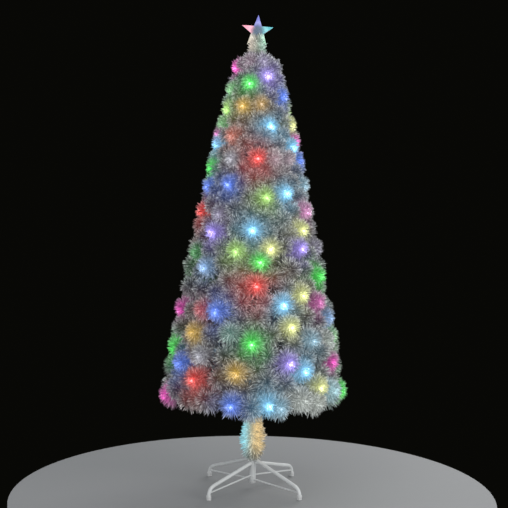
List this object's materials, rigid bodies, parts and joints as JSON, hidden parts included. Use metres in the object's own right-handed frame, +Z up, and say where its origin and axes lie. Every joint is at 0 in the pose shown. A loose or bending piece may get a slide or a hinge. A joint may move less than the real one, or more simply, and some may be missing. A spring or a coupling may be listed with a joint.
{
  "type": "fiber optic christmas tree",
  "caption": "Tall artificial Christmas tree of bushy lit brush branches, with a clear star on top and a folding four-legged tube stand.",
  "frame": {"origin": "on the floor, on the trunk's axis", "axes": "+Z up along the trunk; the pictured front faces -Y, and +X is to its viewer's right"},
  "size_m": [0.7016, 0.697, 1.7995],
  "materials": {
    "stand_paint": "satin pale grey paint on steel tube",
    "caps": "soft off-white plastic",
    "pole_paint": "satin off-white paint on steel tube",
    "wiring": "white cable and plug",
    "needles": "silvery white film needles and clear light fibres, bound on wire",
    "socket": "white plastic",
    "star": "clear faceted plastic, lit from inside"
  },
  "bodies": {
    "stand": {"stand_inner_tube": "stand_paint", "stand_end_cap": "caps", "leg_rear_left": "stand_paint", "brace_rear_left": "stand_paint", "foot_cap_rear_left": "caps", "leg_front_right": "stand_paint", "brace_front_right": "stand_paint", "foot_cap_front_right": "caps"},
    "turning_legs": {"stand_sleeve": "stand_paint", "leg_rear_right": "stand_paint", "brace_rear_right": "stand_paint", "foot_cap_rear_right": "caps", "leg_front_left": "stand_paint", "brace_front_left": "stand_paint", "foot_cap_front_left": "caps"},
    "lower_section": {"lower_pole": "pole_paint", "trunk_wrap": "needles", "lower_wiring": "wiring"},
    "upper_section": {"upper_pole": "pole_paint", "upper_wiring": "wiring"},
    "star": {"star_socket": "socket", "star_front": "star", "star_back": "star", "crown_wrap": "needles"},
    "front_a1": {"branch_front_a1": "needles"},
    "back_a1": {"branch_back_a1": "needles"},
    "front_a2": {"branch_front_a2": "needles"},
    "back_a2": {"branch_back_a2": "needles"},
    "front_a3": {"branch_front_a3": "needles"},
    "back_a3": {"branch_back_a3": "needles"},
    "front_a4": {"branch_front_a4": "needles"},
    "back_a4": {"branch_back_a4": "needles"},
    "front_b1": {"branch_front_b1": "needles"},
    "back_b1": {"branch_back_b1": "needles"},
    "front_b2": {"branch_front_b2": "needles"},
    "back_b2": {"branch_back_b2": "needles"},
    "front_b3": {"branch_front_b3": "needles"},
    "back_b3": {"branch_back_b3": "needles"},
    "front_c1": {"branch_front_c1": "needles"},
    "back_c1": {"branch_back_c1": "needles"},
    "front_c2": {"branch_front_c2": "needles"},
    "back_c2": {"branch_back_c2": "needles"},
    "front_c3": {"branch_front_c3": "needles"},
    "back_c3": {"branch_back_c3": "needles"},
    "front_d1": {"branch_front_d1": "needles"},
    "back_d1": {"branch_back_d1": "needles"},
    "front_d2": {"branch_front_d2": "needles"},
    "back_d2": {"branch_back_d2": "needles"},
    "front_d3": {"branch_front_d3": "needles"},
    "back_d3": {"branch_back_d3": "needles"},
    "front_e1": {"branch_front_e1": "needles"},
    "back_e1": {"branch_back_e1": "needles"},
    "front_e2": {"branch_front_e2": "needles"},
    "back_e2": {"branch_back_e2": "needles"},
    "front_f1": {"branch_front_f1": "needles"},
    "back_f1": {"branch_back_f1": "needles"},
    "front_f2": {"branch_front_f2": "needles"},
    "back_f2": {"branch_back_f2": "needles"},
    "front_g1": {"branch_front_g1": "needles"},
    "back_g1": {"branch_back_g1": "needles"}
  },
  "joints": [
    {"name": "leg_pair_fold", "type": "hinge", "parent": "stand", "child": "turning_legs", "pos_m": [0, 0, 0.07], "axis": [0, 0, 1], "range_deg": [0, 75]},
    {"name": "lower_section_lift", "type": "slide", "parent": "stand", "child": "lower_section", "axis": [0, 0, 1], "range_m": [0, 0.085]},
    {"name": "upper_section_lift", "type": "slide", "parent": "lower_section", "child": "upper_section", "axis": [0, 0, 1], "range_m": [0, 0.075]},
    {"name": "star_lift", "type": "slide", "parent": "upper_section", "child": "star", "axis": [0, 0, 1], "range_m": [0, 0.04]},
    {"name": "wire_bend_front_a1", "type": "hinge", "parent": "lower_section", "child": "front_a1", "pos_m": [-0.0137, -0.00445, 0.345], "axis": [-0.309, 0.9511, 0], "range_deg": [0, 50], "deforming": ["branch_front_a1"]},
    {"name": "wire_bend_back_a1", "type": "hinge", "parent": "lower_section", "child": "back_a1", "pos_m": [0.0137, 0.00445, 0.345], "axis": [0.309, -0.9511, 0], "range_deg": [0, 50], "deforming": ["branch_back_a1"]},
    {"name": "wire_bend_front_a2", "type": "hinge", "parent": "lower_section", "child": "front_a2", "pos_m": [-0.00654, -0.01283, 0.345], "axis": [-0.891, 0.454, 0], "range_deg": [0, 50], "deforming": ["branch_front_a2"]},
    {"name": "wire_bend_back_a2", "type": "hinge", "parent": "lower_section", "child": "back_a2", "pos_m": [0.00654, 0.01283, 0.345], "axis": [0.891, -0.454, 0], "range_deg": [0, 50], "deforming": ["branch_back_a2"]},
    {"name": "wire_bend_front_a3", "type": "hinge", "parent": "lower_section", "child": "front_a3", "pos_m": [0.00493, -0.01353, 0.345], "axis": [-0.9397, -0.342, 0], "range_deg": [0, 50], "deforming": ["branch_front_a3"]},
    {"name": "wire_bend_back_a3", "type": "hinge", "parent": "lower_section", "child": "back_a3", "pos_m": [-0.00493, 0.01353, 0.345], "axis": [0.9397, 0.342, 0], "range_deg": [0, 50], "deforming": ["branch_back_a3"]},
    {"name": "wire_bend_front_a4", "type": "hinge", "parent": "lower_section", "child": "front_a4", "pos_m": [0.01305, -0.00609, 0.345], "axis": [-0.4226, -0.9063, 0], "range_deg": [0, 50], "deforming": ["branch_front_a4"]},
    {"name": "wire_bend_back_a4", "type": "hinge", "parent": "lower_section", "child": "back_a4", "pos_m": [-0.01305, 0.00609, 0.345], "axis": [0.4226, 0.9063, 0], "range_deg": [0, 50], "deforming": ["branch_back_a4"]},
    {"name": "wire_bend_front_b1", "type": "hinge", "parent": "lower_section", "child": "front_b1", "pos_m": [-0.01362, -0.00469, 0.49157], "axis": [-0.3256, 0.9455, 0], "range_deg": [0, 50], "deforming": ["branch_front_b1"]},
    {"name": "wire_bend_back_b1", "type": "hinge", "parent": "lower_section", "child": "back_b1", "pos_m": [0.01362, 0.00469, 0.49157], "axis": [0.3256, -0.9455, 0], "range_deg": [0, 50], "deforming": ["branch_back_b1"]},
    {"name": "wire_bend_front_b2", "type": "hinge", "parent": "lower_section", "child": "front_b2", "pos_m": [-0.00275, -0.01414, 0.49157], "axis": [-0.9816, 0.1908, 0], "range_deg": [0, 50], "deforming": ["branch_front_b2"]},
    {"name": "wire_bend_back_b2", "type": "hinge", "parent": "lower_section", "child": "back_b2", "pos_m": [0.00275, 0.01414, 0.49157], "axis": [0.9816, -0.1908, 0], "range_deg": [0, 50], "deforming": ["branch_back_b2"]},
    {"name": "wire_bend_front_b3", "type": "hinge", "parent": "lower_section", "child": "front_b3", "pos_m": [0.01, -0.01036, 0.49157], "axis": [-0.7193, -0.6947, 0], "range_deg": [0, 50], "deforming": ["branch_front_b3"]},
    {"name": "wire_bend_back_b3", "type": "hinge", "parent": "lower_section", "child": "back_b3", "pos_m": [-0.01, 0.01036, 0.49157], "axis": [0.7193, 0.6947, 0], "range_deg": [0, 50], "deforming": ["branch_back_b3"]},
    {"name": "wire_bend_front_c1", "type": "hinge", "parent": "lower_section", "child": "front_c1", "pos_m": [-0.01357, -0.00481, 0.65816], "axis": [-0.3338, 0.9426, 0], "range_deg": [0, 50], "deforming": ["branch_front_c1"]},
    {"name": "wire_bend_back_c1", "type": "hinge", "parent": "lower_section", "child": "back_c1", "pos_m": [0.01357, 0.00481, 0.65816], "axis": [0.3338, -0.9426, 0], "range_deg": [0, 50], "deforming": ["branch_back_c1"]},
    {"name": "wire_bend_front_c2", "type": "hinge", "parent": "lower_section", "child": "front_c2", "pos_m": [-0.00262, -0.01416, 0.65816], "axis": [-0.9833, 0.1822, 0], "range_deg": [0, 50], "deforming": ["branch_front_c2"]},
    {"name": "wire_bend_back_c2", "type": "hinge", "parent": "lower_section", "child": "back_c2", "pos_m": [0.00262, 0.01416, 0.65816], "axis": [0.9833, -0.1822, 0], "range_deg": [0, 50], "deforming": ["branch_back_c2"]},
    {"name": "wire_bend_front_c3", "type": "hinge", "parent": "lower_section", "child": "front_c3", "pos_m": [0.01165, -0.00846, 0.65816], "axis": [-0.5878, -0.809, 0], "range_deg": [0, 50], "deforming": ["branch_front_c3"]},
    {"name": "wire_bend_back_c3", "type": "hinge", "parent": "lower_section", "child": "back_c3", "pos_m": [-0.01165, 0.00846, 0.65816], "axis": [0.5878, 0.809, 0], "range_deg": [0, 50], "deforming": ["branch_back_c3"]},
    {"name": "wire_bend_front_d1", "type": "hinge", "parent": "upper_section", "child": "front_d1", "pos_m": [-0.01294, -0.00631, 0.8627], "axis": [-0.4384, 0.8988, 0], "range_deg": [0, 50], "deforming": ["branch_front_d1"]},
    {"name": "wire_bend_back_d1", "type": "hinge", "parent": "upper_section", "child": "back_d1", "pos_m": [0.01294, 0.00631, 0.8627], "axis": [0.4384, -0.8988, 0], "range_deg": [0, 50], "deforming": ["branch_back_d1"]},
    {"name": "wire_bend_front_d2", "type": "hinge", "parent": "upper_section", "child": "front_d2", "pos_m": [-0.00225, -0.01422, 0.8627], "axis": [-0.9877, 0.1564, 0], "range_deg": [0, 50], "deforming": ["branch_front_d2"]},
    {"name": "wire_bend_back_d2", "type": "hinge", "parent": "upper_section", "child": "back_d2", "pos_m": [0.00225, 0.01422, 0.8627], "axis": [0.9877, -0.1564, 0], "range_deg": [0, 50], "deforming": ["branch_back_d2"]},
    {"name": "wire_bend_front_d3", "type": "hinge", "parent": "upper_section", "child": "front_d3", "pos_m": [0.01135, -0.00887, 0.8627], "axis": [-0.6157, -0.788, 0], "range_deg": [0, 50], "deforming": ["branch_front_d3"]},
    {"name": "wire_bend_back_d3", "type": "hinge", "parent": "upper_section", "child": "back_d3", "pos_m": [-0.01135, 0.00887, 0.8627], "axis": [0.6157, 0.788, 0], "range_deg": [0, 50], "deforming": ["branch_back_d3"]},
    {"name": "wire_bend_front_e1", "type": "hinge", "parent": "upper_section", "child": "front_e1", "pos_m": [-0.01135, -0.00887, 1.11476], "axis": [-0.6157, 0.788, 0], "range_deg": [0, 50], "deforming": ["branch_front_e1"]},
    {"name": "wire_bend_back_e1", "type": "hinge", "parent": "upper_section", "child": "back_e1", "pos_m": [0.01135, 0.00887, 1.11476], "axis": [0.6157, -0.788, 0], "range_deg": [0, 50], "deforming": ["branch_back_e1"]},
    {"name": "wire_bend_front_e2", "type": "hinge", "parent": "upper_section", "child": "front_e2", "pos_m": [0.00887, -0.01135, 1.11476], "axis": [-0.788, -0.6157, 0], "range_deg": [0, 50], "deforming": ["branch_front_e2"]},
    {"name": "wire_bend_back_e2", "type": "hinge", "parent": "upper_section", "child": "back_e2", "pos_m": [-0.00887, 0.01135, 1.11476], "axis": [0.788, 0.6157, 0], "range_deg": [0, 50], "deforming": ["branch_back_e2"]},
    {"name": "wire_bend_front_f1", "type": "hinge", "parent": "upper_section", "child": "front_f1", "pos_m": [-0.01158, -0.00857, 1.29459], "axis": [-0.5948, 0.8039, 0], "range_deg": [0, 50], "deforming": ["branch_front_f1"]},
    {"name": "wire_bend_back_f1", "type": "hinge", "parent": "upper_section", "child": "back_f1", "pos_m": [0.01158, 0.00857, 1.29459], "axis": [0.5948, -0.8039, 0], "range_deg": [0, 50], "deforming": ["branch_back_f1"]},
    {"name": "wire_bend_front_f2", "type": "hinge", "parent": "upper_section", "child": "front_f2", "pos_m": [0.00857, -0.01158, 1.29459], "axis": [-0.8039, -0.5948, 0], "range_deg": [0, 50], "deforming": ["branch_front_f2"]},
    {"name": "wire_bend_back_f2", "type": "hinge", "parent": "upper_section", "child": "back_f2", "pos_m": [-0.00857, 0.01158, 1.29459], "axis": [0.8039, 0.5948, 0], "range_deg": [0, 50], "deforming": ["branch_back_f2"]},
    {"name": "wire_bend_front_g1", "type": "hinge", "parent": "upper_section", "child": "front_g1", "pos_m": [0, -0.0144, 1.5158], "axis": [-1, 0, 0], "range_deg": [0, 50], "deforming": ["branch_front_g1"]},
    {"name": "wire_bend_back_g1", "type": "hinge", "parent": "upper_section", "child": "back_g1", "pos_m": [0, 0.0144, 1.5158], "axis": [1, 0, 0], "range_deg": [0, 50], "deforming": ["branch_back_g1"]}
  ]
}
